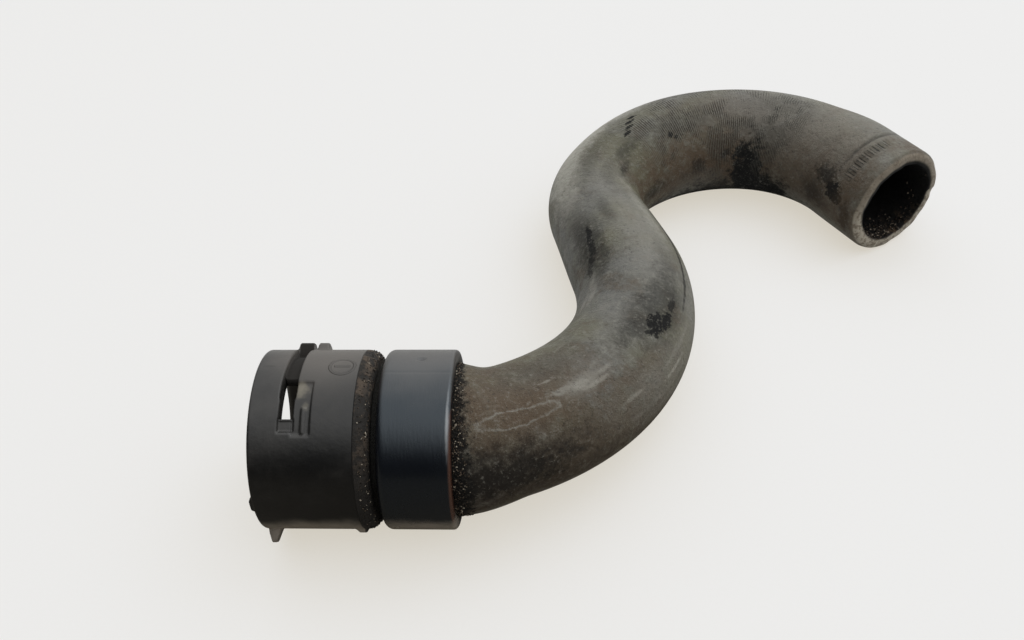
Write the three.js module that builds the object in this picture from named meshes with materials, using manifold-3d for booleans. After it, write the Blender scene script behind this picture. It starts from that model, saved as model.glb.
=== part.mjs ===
// Coolant hose with a quick-connect socket, lying at rest on a flat surface
import * as THREE from 'three';
import { mergeVertices } from 'three/addons/utils/BufferGeometryUtils.js';
import Module from 'manifold-3d';

// Driving dimensions, in millimetres and degrees
const CLEARANCE = 0.3;

const SOCKET_RADIUS = 26.5;
const SOCKET_LENGTH = 33.5;
const MOUTH_BEVEL = 0.8;
const SHOULDER_LENGTH = 4.0;
const SHOULDER_DROP = 3.0;
const SHOULDER_STEPS = 4;
const BORE_RADIUS = 21.6;
const BORE_DEPTH = 26.5;
const BORE_CHAMFER = 1.0;
const FUNNEL_RATIO = 0.5;
const LEAD_IN = 1.8;

const SEAL_SECTION = 3.2;
const SEAL_GROOVE_START = 17.0;
const SEAL_GROOVE_WIDTH = 4.4;
const SEAL_GROOVE_DEPTH = 2.0;

const HOSE_BORE_RADIUS = 16.0;
const HOSE_WALL = 4.0;
const CUFF_WALL = 4.8;
const CUFF_LENGTH = 22.0;
const CUFF_RISE = 22.0;
const STRETCH = 2.4;
const STRETCH_TAPER = 16.0;
const WAIST = 2.2;
const WAIST_SPREAD = 32.0;
const HOSE_END_CHAMFER = 0.6;

const STEM_WALL = 2.6;
const STEM_LENGTH = 22.8;
const STEM_CHAMFER = 0.6;
const BARB_HEIGHT = 0.8;
const BARB_PITCH = 5.2;
const BARB_COUNT = 4;
const BARB_RISE_SHARE = 0.15;
const BARB_LAND_SHARE = 0.2;

const SLEEVE_WALL = 3.8;
const SLEEVE_GAP = 2.2;
const SLEEVE_LENGTH = 20.9;
const SLEEVE_FRONT_ROUND = 2.2;
const SLEEVE_BACK_ROUND = 1.2;

// Features round the socket. Angles go from the top towards -Y
const CLIP_PLANE = -50;
const SLOT_START = 8.5;
const SLOT_WIDTH = 4.2;
const SLOT_DEPTH = 2.4;
const WINDOW_OFFSET = 64;
const WINDOW_SPAN = 32;
const RAMP_SPAN = 8;
const RAMP_DEPTH = 1.3;
const ANGLE_OVERLAP = 1;
const RECESS_LENGTH = 5.2;
const RECESS_DEPTH = 0.8;
const RECESS_TOP = 9;
const RECESS_BOTTOM = 26;
const RIB_START = 2.2;
const RIB_LENGTH = 1.2;
const RIB_SPAN = 17;
const RIB_OFFSET = 17;
const RIDGE_WIDTH = 5.0;
const RIDGE_HEIGHT = 2.1;
const RIDGE_TAPER = 0.9;
const FRONT_RIDGE_LENGTH = 4.7;
const REAR_RIDGE_LENGTH = 3.5;
const RIDGE_GAP = 1.0;
const BRIDGE_SPAN = 10;
const KEY_WIDTH = 4.0;
const KEY_HEIGHT = 4.0;
const KEY_LENGTH = 4.0;
const KEY_TIP = 1.2;
const KEY_START = 0.4;
const STOP_WIDTH = 5.4;
const STOP_TIP = 3.2;
const STOP_HEIGHT = 1.0;
const STOP_LENGTH = 4.5;
const STOP_LEAD = 2.5;
const NIB_SPAN = 11;
const NIB_LENGTH = 1.0;
const NIB_INSET = 0.4;
const NIB_OFFSET = 140;

// The centreline in plan: bends to the left, then bends to the right
const EXIT_BEND = { radius: 31, turn: 21.7 };
const FIRST_BEND = { radius: 69.4, turn: 83.8 };
const MID_STRAIGHT = 33.6;
const SECOND_BEND = { radius: 28.6, turn: -47.2 };
const FAR_BEND = { radius: 60.6, turn: -64.1 };
const LAST_BEND = { radius: 49.8, turn: -52.3 };
const END_STRAIGHT = 26;
const SETTLE_LENGTH = 104;

const ROUND_SEGMENTS = 36;
const HOSE_SEGMENTS = 28;
const GRIP_STEP = 12;
const TAPER_STEP = 2.8;
const HOSE_STEP = 7;
const BORE_TAPER_STEP = 3.7;
const BORE_STEP = 11;
const SLOPE_PROBE = 0.5;
const EMBED = 1.0;
const CUT_OVERLAP = 0.4;

// Sizes worked out from the driving ones
const hoseRadius = HOSE_BORE_RADIUS + HOSE_WALL;
const cuffRadius = HOSE_BORE_RADIUS + CUFF_WALL;
const stretchedBore = HOSE_BORE_RADIUS + STRETCH;
const stretchedRadius = hoseRadius + STRETCH;
const barbRadius = stretchedBore - CLEARANCE;
const stemRadius = barbRadius - BARB_HEIGHT;
const stemBore = stemRadius - STEM_WALL;
const sealGrooveRadius = BORE_RADIUS + SEAL_GROOVE_DEPTH;
const sleeveBore = stretchedRadius + CLEARANCE;
const sleeveRadius = sleeveBore + SLEEVE_WALL;
const sleeveStart = SOCKET_LENGTH + SLEEVE_GAP;
const sleeveEnd = sleeveStart + SLEEVE_LENGTH;
const hoseStart = SOCKET_LENGTH + CLEARANCE;
const gripLength = sleeveEnd - hoseStart;
const axisHeight = Math.max(SOCKET_RADIUS, sleeveRadius);

const wasm = await Module();
wasm.setup();

function solidOf(geometry) {
  const bare = geometry.clone();
  bare.deleteAttribute('normal');
  bare.deleteAttribute('uv');
  const merged = mergeVertices(bare, 1e-4);
  return new wasm.Manifold(new wasm.Mesh({
    numProp: 3,
    vertProperties: new Float32Array(merged.attributes.position.array),
    triVerts: new Uint32Array(merged.index.array),
  }));
}

function geometryOf(solid) {
  const mesh = solid.getMesh();
  const geometry = new THREE.BufferGeometry();
  geometry.setAttribute('position', new THREE.BufferAttribute(mesh.vertProperties, 3));
  geometry.setIndex(new THREE.BufferAttribute(mesh.triVerts, 1));
  geometry.computeVertexNormals();
  return geometry;
}

// A closed profile of [radius, place along the axis] pairs, turned about the X axis
function turned(profile, segments = ROUND_SEGMENTS) {
  const points = [...profile, profile[0]].map(([radius, along]) => new THREE.Vector2(radius, along));
  const axes = new THREE.Matrix4().makeBasis(
    new THREE.Vector3(0, 0, 1), new THREE.Vector3(1, 0, 0), new THREE.Vector3(0, 1, 0));
  return new THREE.LatheGeometry(points, segments).applyMatrix4(axes);
}

// A quarter of a circle as profile points, from the start angle down; angle 0 points along the axis
function quarterRound(centreRadius, centreAlong, radius, startAngle, steps = 4) {
  return Array.from({ length: steps + 1 }, (_, i) => {
    const angle = startAngle - (Math.PI / 2) * (i / steps);
    return [centreRadius + radius * Math.sin(angle), centreAlong + radius * Math.cos(angle)];
  });
}

// An outline drawn across the axis, given depth along it from the place start
function acrossAxis(shape, start, depth) {
  const axes = new THREE.Matrix4().makeBasis(
    new THREE.Vector3(0, 1, 0), new THREE.Vector3(0, 0, 1), new THREE.Vector3(1, 0, 0));
  const solid = new THREE.ExtrudeGeometry(shape, { depth, bevelEnabled: false, curveSegments: 10 });
  return solid.applyMatrix4(axes).translate(start, 0, 0);
}

// A stretch of a ring between two radii and two angles, angles from the top towards -Y
function sector(innerRadius, outerRadius, fromDegrees, toDegrees, start, depth) {
  const from = Math.PI / 2 + THREE.MathUtils.degToRad(fromDegrees);
  const to = Math.PI / 2 + THREE.MathUtils.degToRad(toDegrees);
  const shape = new THREE.Shape();
  shape.absarc(0, 0, outerRadius, from, to, false);
  shape.absarc(0, 0, innerRadius, to, from, true);
  shape.closePath();
  return solidOf(acrossAxis(shape, start, depth));
}

// A lug on the outside of the socket: a trapezium across the axis, with its foot in the wall
function lug(degrees, footWidth, tipWidth, height, start, depth) {
  const foot = SOCKET_RADIUS - EMBED;
  const tip = SOCKET_RADIUS + height;
  const shape = new THREE.Shape([
    new THREE.Vector2(-footWidth / 2, foot), new THREE.Vector2(footWidth / 2, foot),
    new THREE.Vector2(tipWidth / 2, tip), new THREE.Vector2(-tipWidth / 2, tip)]);
  const geometry = acrossAxis(shape, start, depth);
  return solidOf(geometry.rotateX(THREE.MathUtils.degToRad(degrees)));
}

// A wedge on the outside of the socket, long at its foot and short at its tip along the axis
function wedge(degrees, footLength, tipLength, width, height, start) {
  const foot = SOCKET_RADIUS - EMBED;
  const tip = SOCKET_RADIUS + height;
  const inset = (footLength - tipLength) / 2;
  const shape = new THREE.Shape([
    new THREE.Vector2(start, foot), new THREE.Vector2(start + footLength, foot),
    new THREE.Vector2(start + footLength - inset, tip), new THREE.Vector2(start + inset, tip)]);
  const geometry = new THREE.ExtrudeGeometry(shape, { depth: width, bevelEnabled: false });
  geometry.translate(0, 0, -width / 2).rotateX(Math.PI / 2);
  return solidOf(geometry.rotateX(THREE.MathUtils.degToRad(degrees)));
}

// The same pair of cuts or lugs on both sides of the plane through the clip
function mirroredAboutClip(offset, make) {
  return [make(CLIP_PLANE + offset, 1), make(CLIP_PLANE - offset, -1)];
}

function barbs() {
  const first = SOCKET_LENGTH + STEM_LENGTH - BARB_COUNT * BARB_PITCH;
  const points = [];
  for (let i = 0; i < BARB_COUNT; i += 1) {
    const start = first + i * BARB_PITCH;
    const riseEnd = start + BARB_RISE_SHARE * BARB_PITCH;
    points.push([stemRadius, start], [barbRadius, riseEnd]);
    points.push([barbRadius, riseEnd + BARB_LAND_SHARE * BARB_PITCH]);
  }
  return points;
}

// The shoulder behind the socket falls along a quarter of an ellipse
function shoulder() {
  const start = SOCKET_LENGTH - SHOULDER_LENGTH;
  return Array.from({ length: SHOULDER_STEPS + 1 }, (_, i) => {
    const angle = (Math.PI / 2) * (i / SHOULDER_STEPS);
    return [SOCKET_RADIUS - SHOULDER_DROP * (1 - Math.cos(angle)), start + SHOULDER_LENGTH * Math.sin(angle)];
  });
}

function socketProfile() {
  const stemEnd = SOCKET_LENGTH + STEM_LENGTH;
  const grooveEnd = SEAL_GROOVE_START + SEAL_GROOVE_WIDTH;
  return [
    [SOCKET_RADIUS - MOUTH_BEVEL, 0],
    [SOCKET_RADIUS, MOUTH_BEVEL],
    ...shoulder(),
    [stemRadius, SOCKET_LENGTH],
    ...barbs(),
    [stemRadius, stemEnd - STEM_CHAMFER],
    [stemRadius - STEM_CHAMFER, stemEnd],
    [stemBore, stemEnd],
    [stemBore, BORE_DEPTH + FUNNEL_RATIO * (BORE_RADIUS - stemBore)],
    [BORE_RADIUS - BORE_CHAMFER, BORE_DEPTH],
    [BORE_RADIUS, BORE_DEPTH - BORE_CHAMFER],
    [BORE_RADIUS, grooveEnd],
    [sealGrooveRadius, grooveEnd],
    [sealGrooveRadius, SEAL_GROOVE_START],
    [BORE_RADIUS, SEAL_GROOVE_START],
    [BORE_RADIUS, LEAD_IN],
    [BORE_RADIUS + LEAD_IN, 0],
  ];
}

function socketBody() {
  const far = SOCKET_RADIUS + 4 * EMBED;
  const halfWindow = WINDOW_SPAN / 2;
  const slotEnd = SLOT_START + SLOT_WIDTH;
  const grooveHalf = WINDOW_OFFSET - halfWindow + ANGLE_OVERLAP;
  const rampOffset = WINDOW_OFFSET + halfWindow + (RAMP_SPAN - ANGLE_OVERLAP) / 2;
  let body = solidOf(turned(socketProfile()));

  const cuts = [
    sector(SOCKET_RADIUS - SLOT_DEPTH, far,
      CLIP_PLANE - grooveHalf, CLIP_PLANE + grooveHalf, SLOT_START, SLOT_WIDTH),
    ...mirroredAboutClip(WINDOW_OFFSET, (centre) => sector(BORE_RADIUS - LEAD_IN, far,
      centre - halfWindow, centre + halfWindow, SLOT_START, SLOT_WIDTH)),
    ...mirroredAboutClip(rampOffset, (centre) => sector(
      SOCKET_RADIUS - RAMP_DEPTH, far,
      centre - RAMP_SPAN / 2, centre + RAMP_SPAN / 2, SLOT_START, SLOT_WIDTH)),
    ...mirroredAboutClip(WINDOW_OFFSET, (centre, side) => sector(SOCKET_RADIUS - RECESS_DEPTH, far,
      centre - (side > 0 ? RECESS_TOP : RECESS_BOTTOM),
      centre + (side > 0 ? RECESS_BOTTOM : RECESS_TOP), slotEnd - CUT_OVERLAP, RECESS_LENGTH)),
  ];
  cuts.forEach((cut) => { body = body.subtract(cut); });

  const frontRidgeStart = SLOT_START + (SLOT_WIDTH - FRONT_RIDGE_LENGTH) / 2;
  const stopStart = SOCKET_LENGTH - SHOULDER_LENGTH - STOP_LEAD;
  const ridgeTip = RIDGE_WIDTH - 2 * RIDGE_TAPER;
  const adds = [
    lug(CLIP_PLANE, RIDGE_WIDTH, ridgeTip, RIDGE_HEIGHT, frontRidgeStart, FRONT_RIDGE_LENGTH),
    lug(CLIP_PLANE, RIDGE_WIDTH, ridgeTip, RIDGE_HEIGHT,
      frontRidgeStart + FRONT_RIDGE_LENGTH + RIDGE_GAP, REAR_RIDGE_LENGTH),
    sector(SOCKET_RADIUS - SLOT_DEPTH - EMBED, SOCKET_RADIUS,
      CLIP_PLANE - BRIDGE_SPAN / 2, CLIP_PLANE + BRIDGE_SPAN / 2,
      SLOT_START - CUT_OVERLAP, SLOT_WIDTH + 2 * CUT_OVERLAP),
    wedge(CLIP_PLANE + 180, KEY_LENGTH, KEY_TIP, KEY_WIDTH, KEY_HEIGHT, KEY_START),
    lug(CLIP_PLANE + 180, STOP_WIDTH, STOP_TIP, STOP_HEIGHT, stopStart, STOP_LENGTH),
    ...mirroredAboutClip(WINDOW_OFFSET + RIB_OFFSET, (centre) => sector(
      SOCKET_RADIUS - RECESS_DEPTH - EMBED, SOCKET_RADIUS,
      centre - RIB_SPAN / 2, centre + RIB_SPAN / 2, slotEnd + RIB_START, RIB_LENGTH)),
    ...mirroredAboutClip(NIB_OFFSET, (centre) => sector(
      BORE_RADIUS + LEAD_IN + NIB_INSET, SOCKET_RADIUS - MOUTH_BEVEL,
      centre - NIB_SPAN / 2, centre + NIB_SPAN / 2, -NIB_LENGTH, NIB_LENGTH + EMBED)),
  ];
  adds.forEach((add) => { body = body.add(add); });
  return geometryOf(body);
}

function clampSleeve() {
  return turned([
    [sleeveBore, sleeveStart],
    ...quarterRound(sleeveRadius - SLEEVE_FRONT_ROUND, sleeveStart + SLEEVE_FRONT_ROUND,
      SLEEVE_FRONT_ROUND, Math.PI),
    ...quarterRound(sleeveRadius - SLEEVE_BACK_ROUND, sleeveEnd - SLEEVE_BACK_ROUND,
      SLEEVE_BACK_ROUND, Math.PI / 2),
    [sleeveBore, sleeveEnd],
  ]);
}

function sealRing() {
  const middle = sealGrooveRadius - CLEARANCE / 2 - SEAL_SECTION / 2;
  const along = SEAL_GROOVE_START + SEAL_GROOVE_WIDTH / 2;
  const ring = new THREE.TorusGeometry(middle, SEAL_SECTION / 2, 10, ROUND_SEGMENTS);
  return ring.rotateY(Math.PI / 2).translate(along, 0, 0);
}

function runsInPlan() {
  const bend = ({ radius, turn }) => {
    const angle = THREE.MathUtils.degToRad(turn);
    return { length: radius * Math.abs(angle), rate: Math.sign(angle) / radius };
  };
  const straight = (length) => ({ length, rate: 0 });
  return [
    straight(gripLength), bend(EXIT_BEND), bend(FIRST_BEND), straight(MID_STRAIGHT),
    bend(SECOND_BEND), bend(FAR_BEND), bend(LAST_BEND), straight(END_STRAIGHT)];
}

const runs = runsInPlan();
const hoseLength = runs.reduce((sum, run) => sum + run.length, 0);

// The place in plan and the heading at a distance along the hose
function planAt(distance) {
  let [x, y, heading, left] = [hoseStart, 0, 0, distance];
  for (const { length, rate } of runs) {
    const step = Math.min(left, length);
    const next = heading + rate * step;
    x += rate ? (Math.sin(next) - Math.sin(heading)) / rate : step * Math.cos(heading);
    y += rate ? (Math.cos(heading) - Math.cos(next)) / rate : step * Math.sin(heading);
    heading = next;
    left -= step;
  }
  return { x, y, heading };
}

// Outer and inner radius of the hose at a distance along it
const cuffStart = hoseLength - CUFF_LENGTH - CUFF_RISE;
function stretchAt(distance) {
  return STRETCH * (1 - THREE.MathUtils.smoothstep(distance, gripLength, gripLength + STRETCH_TAPER));
}
function cuffGrowth(distance) {
  const share = THREE.MathUtils.smoothstep(distance, cuffStart, cuffStart + CUFF_RISE);
  return (cuffRadius - hoseRadius) * share;
}

// The hose is slimmer halfway along its free length
const waistMiddle = (gripLength + hoseLength) / 2;
function waistAt(distance) {
  const away = (distance - waistMiddle) / WAIST_SPREAD;
  return WAIST * Math.exp(-away * away);
}
const radiusChange = (distance) => stretchAt(distance) - waistAt(distance);

// Height of the centreline: level in the socket, then sinking until the hose lies on the surface
function heightAt(distance) {
  const sunk = THREE.MathUtils.smoothstep(distance, gripLength, gripLength + SETTLE_LENGTH);
  return THREE.MathUtils.lerp(axisHeight, hoseRadius, sunk) + cuffGrowth(distance) - waistAt(distance);
}

function frameAt(distance) {
  const { x, y, heading } = planAt(distance);
  const rise = heightAt(distance + SLOPE_PROBE) - heightAt(distance - SLOPE_PROBE);
  const slope = rise / (2 * SLOPE_PROBE);
  const tangent = new THREE.Vector3(Math.cos(heading), Math.sin(heading), slope).normalize();
  const side = new THREE.Vector3(0, 0, 1).cross(tangent).normalize();
  const up = new THREE.Vector3().crossVectors(tangent, side);
  return { point: new THREE.Vector3(x, y, heightAt(distance) - axisHeight), tangent, side, up };
}

function stations(from, to, step) {
  const count = Math.max(1, Math.round((to - from) / step));
  return Array.from({ length: count + 1 }, (_, i) => from + ((to - from) * i) / count);
}

function hoseProfile() {
  const taperEnd = gripLength + STRETCH_TAPER;
  const outerAt = (s) => hoseRadius + radiusChange(s) + cuffGrowth(s);
  const innerAt = (s) => HOSE_BORE_RADIUS + radiusChange(s);
  const outerPlaces = [
    ...stations(HOSE_END_CHAMFER, gripLength, GRIP_STEP),
    ...stations(gripLength, taperEnd, TAPER_STEP).slice(1),
    ...stations(taperEnd, hoseLength - HOSE_END_CHAMFER, HOSE_STEP).slice(1)];
  const innerPlaces = [
    ...stations(0, gripLength, GRIP_STEP),
    ...stations(gripLength, taperEnd, BORE_TAPER_STEP).slice(1),
    ...stations(taperEnd, hoseLength, BORE_STEP).slice(1)];
  return [
    [outerAt(0) - HOSE_END_CHAMFER, 0],
    ...outerPlaces.map((s) => [outerAt(s), s]),
    [outerAt(hoseLength) - HOSE_END_CHAMFER, hoseLength],
    ...innerPlaces.reverse().map((s) => [innerAt(s), s]),
  ];
}

// The straight hose wall, bent along the centreline
function hose() {
  const wall = turned(hoseProfile(), HOSE_SEGMENTS);
  const position = wall.attributes.position;
  for (let i = 0; i < position.count; i += 1) {
    const { point, side, up } = frameAt(position.getX(i));
    point.addScaledVector(side, position.getY(i)).addScaledVector(up, position.getZ(i));
    position.setXYZ(i, point.x, point.y, point.z);
  }
  wall.computeVertexNormals();
  return wall;
}

const rubber = new THREE.MeshStandardMaterial({ color: 0x5a5751, roughness: 0.72, metalness: 0 });
const socketPlastic = new THREE.MeshStandardMaterial({ color: 0x34332f, roughness: 0.5, metalness: 0 });
const sleevePlastic = new THREE.MeshStandardMaterial({ color: 0x1d1f22, roughness: 0.32, metalness: 0 });
const sealRubber = new THREE.MeshStandardMaterial({ color: 0x141414, roughness: 0.5, metalness: 0 });

function named(name, geometry, material) {
  const mesh = new THREE.Mesh(geometry, material);
  mesh.name = name;
  return mesh;
}

const assembly = new THREE.Group();
assembly.add(
  named('hose', hose(), rubber),
  named('socket_body', socketBody(), socketPlastic),
  named('clamp_sleeve', clampSleeve(), sleevePlastic),
  named('o_ring_seal', sealRing(), sealRubber),
);

// The origin is at the middle of the footprint, on the surface that the hose lies on
const bounds = new THREE.Box3().setFromObject(assembly, true);
const middle = bounds.getCenter(new THREE.Vector3());
assembly.position.set(-middle.x, -middle.y, -bounds.min.z);

const group = new THREE.Group();
group.add(assembly);

export default group;
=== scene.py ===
"""Looks of a used coolant hose with a quick-connect socket, on a pale table."""
import math
from types import SimpleNamespace

import bpy
import numpy as np
from bpy.props import FloatProperty, FloatVectorProperty, IntProperty, PointerProperty
from mathutils import Matrix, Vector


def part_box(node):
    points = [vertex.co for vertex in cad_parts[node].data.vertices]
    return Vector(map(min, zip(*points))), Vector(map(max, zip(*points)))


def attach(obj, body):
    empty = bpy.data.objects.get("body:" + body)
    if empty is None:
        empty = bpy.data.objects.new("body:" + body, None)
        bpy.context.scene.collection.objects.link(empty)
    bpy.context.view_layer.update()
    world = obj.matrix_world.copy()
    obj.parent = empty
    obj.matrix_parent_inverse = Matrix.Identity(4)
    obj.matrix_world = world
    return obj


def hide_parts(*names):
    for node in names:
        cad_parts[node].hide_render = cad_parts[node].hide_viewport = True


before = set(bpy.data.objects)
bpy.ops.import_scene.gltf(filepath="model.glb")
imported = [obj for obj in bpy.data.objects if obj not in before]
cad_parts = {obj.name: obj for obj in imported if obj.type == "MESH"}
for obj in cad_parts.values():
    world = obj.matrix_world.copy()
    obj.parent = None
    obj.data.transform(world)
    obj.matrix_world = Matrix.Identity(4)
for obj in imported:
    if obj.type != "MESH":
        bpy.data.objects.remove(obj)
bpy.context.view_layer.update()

bl_info = {
    "name": "Coolant hose",
    "version": (1, 0, 0),
    "blender": (4, 5, 0),
    "location": "View3D > Sidebar > Hose",
    "description": "Builds a used moulded coolant hose with its socket, sleeve and seal",
    "category": "Object",
}

MM = 0.001
sleeve_low, sleeve_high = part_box("clamp_sleeve")
ring_low, ring_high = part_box("o_ring_seal")

# The socket's axis and the places along it, in millimetres from the mouth
AXIS_Y = (sleeve_low.y + sleeve_high.y) / 2
AXIS_Z = (sleeve_low.z + sleeve_high.z) / 2
SLEEVE_START = 35.7
SLEEVE_END = 56.6
SLEEVE_WALL = 3.8
MOUTH_X = sleeve_high.x - SLEEVE_END * MM
SOCKET_RADIUS = 26.5
SOCKET_LENGTH = 33.5
MOUTH_BEVEL = 0.8
SHOULDER_LENGTH = 4.0
SHOULDER_DROP = 3.0
SHOULDER_START = SOCKET_LENGTH - SHOULDER_LENGTH
BORE_RADIUS = 21.6
BORE_DEPTH = 26.5
BORE_CHAMFER = 1.0
LEAD_IN = 1.8
GROOVE = (17.0, 21.4)
GROOVE_DEPTH = 2.0
STEM_END = 56.3
STEM_RADIUS = 17.3
STEM_BORE = 14.7
STEM_CHAMFER = 0.6
BARB_COUNT = 4
BARB_PITCH = 5.2
BARB_HEIGHT = 0.8
BARB_RISE = 0.8
BARB_LAND = 1.0

# Round the socket: angles in degrees from the top towards the front, the rest in millimetres
CLIP_PLANE = -50
SLOT = (8.5, 12.7)
WINDOW_OFFSET = 64
HALF_WINDOW = 16
WINDOWS = tuple((middle - HALF_WINDOW, middle + HALF_WINDOW)
                for middle in (CLIP_PLANE + WINDOW_OFFSET, CLIP_PLANE - WINDOW_OFFSET))
HALF_SLOT = 66
RAMP_OFFSET = 20
HALF_RAMP = 4
RAMP_DEPTH = 1.3
RECESS_TOP = 9
RECESS_BOTTOM = 26
RECESS_END = 17.5
RIB_OFFSET = 17
HALF_RIB = 8.5
RIB = (14.9, 16.1)
HALF_BRIDGE = 5
HALF_RIDGE = 4.4
RIDGES = ((8.3, 12.9), (14.0, 17.4))
KEY_PLACE = 2.5
HALF_KEY = 4.5
STOP = (27.2, 31.4)
STOP_HEIGHT = 1.0
NIB_MIDDLES = (90, 170)
HALF_NIB = 5.5
NIB_LENGTH = 1.0
NIB_RADII = (24.2, 25.5)

# The plain mark on top of the socket, and the sleeve's notch and parting line
MARK_PLACE, MARK_ANGLE = 24.6, -9.07
NOTCH_PLACE, NOTCH_ANGLE = 46.8, -17.5
SEAM_ANGLE = -3.2

# The hose: a straight grip, then runs of (length or radius, turn in degrees)
HOSE_START = 33.8
GRIP = SLEEVE_END - HOSE_START
BENDS = ((31.0, 21.7), (69.4, 83.8), (33.6, 0.0), (28.6, -47.2), (60.6, -64.1), (49.8, -52.3), (26.0, 0.0))
SETTLE = 104.0
STRETCH_TAPER = 16.0
WAIST = 2.2
WAIST_SPREAD = 32.0
CUFF_LENGTH = 22.0
CUFF_RISE = 22.0
START_CHAMFER = 0.3
ROUTE_STEPS = 6000

# On the unrolled hose the cut face takes up a width of its own between the outside and the bore
FACE_WIDTH = 4.0

# The print of a clamp, measured back from the cut end
PRINT_PLACE = 10.8

# The camera: focal length and picture width in pixels, angles in degrees, and its place in metres
# from the sleeve's end and the socket's axis, above the table
FOCAL_PIXELS = 1116
PICTURE_PIXELS = 1024
SENSOR_WIDTH = 36.0
YAW, PITCH, ROLL = 3.93, 42.14, -2.78
CAMERA_PLACE = (0.03252, -0.22076, 0.27431)

# The lamp and the table, in metres
LAMP_PLACE = (0.55, 0.45, 1.1)
LAMP_SIZE = 0.9
TABLE_HALF = 3.0


def smooth(value, low, high):
    """A step from 0 at low to 1 at high that starts and ends level: t squared times (3 - 2t)."""
    share = np.clip((value - low) / (high - low), 0, 1)
    return share * share * (3 - 2 * share)


def within(value, low, high, edge):
    """1 between low and high, falling to 0 over one edge width on both sides."""
    return smooth(value, low - edge / 2, low + edge / 2) - smooth(value, high - edge / 2, high + edge / 2)


def quads(rows, columns):
    """Faces of a grid of points numbered row by row, closed on itself both ways."""
    row, column = np.meshgrid(np.arange(rows), np.arange(columns), indexing="ij")
    next_row, next_column = (row + 1) % rows, (column + 1) % columns
    corners = (row * columns + column, next_row * columns + column,
               next_row * columns + next_column, row * columns + next_column)
    return np.stack(corners, axis=-1).reshape(-1, 4)


def volume_sign(points, faces):
    """The sign of the sum of each face's corner times its area vector: positive if the faces look out."""
    a, b, c, d = (points[faces[:, i]] for i in range(4))
    return np.sign(np.einsum("ij,ij->", a, np.cross(c - a, d - b)))


def add_piece(name, points, faces, finish, node=None, unrolled=None):
    """Puts points in metres and four-cornered faces into a mesh object that rides on the part.

    unrolled holds a pair (along, turn) for each corner of each face.
    """
    points = points.reshape(-1, 3)
    if volume_sign(points, faces) < 0:
        faces = faces[:, ::-1]
        unrolled = None if unrolled is None else unrolled[:, ::-1]
    mesh = bpy.data.meshes.new(name)
    mesh.vertices.add(len(points))
    mesh.vertices.foreach_set("co", points.astype(np.float32).ravel())
    mesh.loops.add(faces.size)
    mesh.loops.foreach_set("vertex_index", faces.astype(np.int32).ravel())
    mesh.polygons.add(len(faces))
    mesh.polygons.foreach_set("loop_start", np.arange(0, faces.size, 4, dtype=np.int32))
    mesh.polygons.foreach_set("use_smooth", np.ones(len(faces), dtype=bool))
    mesh.update(calc_edges=True)
    if unrolled is not None:
        layer = mesh.uv_layers.new(name="unrolled")
        layer.data.foreach_set("uv", unrolled.astype(np.float32).ravel())
    if mesh.validate():
        raise RuntimeError(f"{name}: the mesh had faulty faces")
    mesh.materials.append(finish)
    piece = bpy.data.objects.new(name, mesh)
    bpy.context.scene.collection.objects.link(piece)
    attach(piece, "root")
    if node:
        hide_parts(node)
    return piece


def unrolled_corners(along, turn, columns, faces):
    """The (along, turn) pair at each face corner; the last column of faces ends at turn 1, not at 0."""
    row, column = faces // columns, faces % columns
    pair = np.stack([along[row], turn[column]], axis=-1)
    seam = (column.max(axis=1) == columns - 1) & (column.min(axis=1) == 0)
    wrapped = seam[:, None] & (column == 0)
    pair[..., 1] = np.where(wrapped, 1.0, pair[..., 1])
    return pair


def around_axis(radius, along, angles):
    """Points in metres at (along, -radius sin angle, radius cos angle) from the mouth's centre."""
    return np.stack([MOUTH_X + along * MM, AXIS_Y - radius * MM * np.sin(angles),
                     AXIS_Z + radius * MM * np.cos(angles)], axis=-1)


def revolved(profile, angles, along_change=None, radius_change=None):
    """A profile of (radius, along) rows in millimetres, turned round the socket's axis."""
    radius = profile[:, :1] + (0 if radius_change is None else radius_change)
    along = profile[:, 1:] + (0 if along_change is None else along_change)
    radius, along = np.broadcast_arrays(radius + 0 * angles, along + 0 * angles)
    return around_axis(radius, along, angles)


def arc_profile(radius, along, size, start, end, steps):
    """Profile points on a circle of the given size about (radius, along), angle 0 along the axis."""
    angle = np.radians(np.linspace(start, end, steps))
    return np.stack([radius + size * np.sin(angle), along + size * np.cos(angle)], axis=-1)


def level_profile(radius, places):
    """Profile points at one radius and at the given places along the axis."""
    return np.stack([np.full(len(places), radius), places], axis=-1)


# The hose's route


def run_lengths():
    """Lengths of the grip and of every run; a bend's is its radius times its turn."""
    return [GRIP] + [size * abs(math.radians(turn)) if turn else size for size, turn in BENDS]


def hose_length():
    """Length of the centreline in millimetres."""
    return sum(run_lengths())


def route(distance):
    """Place and heading of the centreline: the heading grows by turn over length, the place follows it."""
    ends = np.concatenate([[0], np.cumsum(run_lengths())])
    headings = np.cumsum([0, 0] + [math.radians(turn) for _, turn in BENDS])
    fine = np.linspace(0, ends[-1], ROUTE_STEPS + 1)
    heading = np.interp(fine, ends, headings)
    middle = (heading[1:] + heading[:-1]) / 2
    x = HOSE_START + np.concatenate([[0], np.cumsum(np.cos(middle) * fine[1])])
    y = np.concatenate([[0], np.cumsum(np.sin(middle) * fine[1])])
    return np.interp(distance, fine, x), np.interp(distance, fine, y), np.interp(distance, fine, heading)


def cuff_share(distance):
    """0 along the hose, rising smoothly to 1 where the cuff begins."""
    start = hose_length() - CUFF_LENGTH - CUFF_RISE
    return smooth(distance, start, start + CUFF_RISE)


def stretch_share(distance):
    """1 where the stem widens the hose, falling smoothly to 0 past the sleeve."""
    return 1 - smooth(distance, GRIP, GRIP + STRETCH_TAPER)


def waist(distance):
    """How much slimmer the hose is near its middle: a bell curve of the distance from there."""
    away = (distance - (GRIP + hose_length()) / 2) / WAIST_SPREAD
    return WAIST * np.exp(-away * away)


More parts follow.
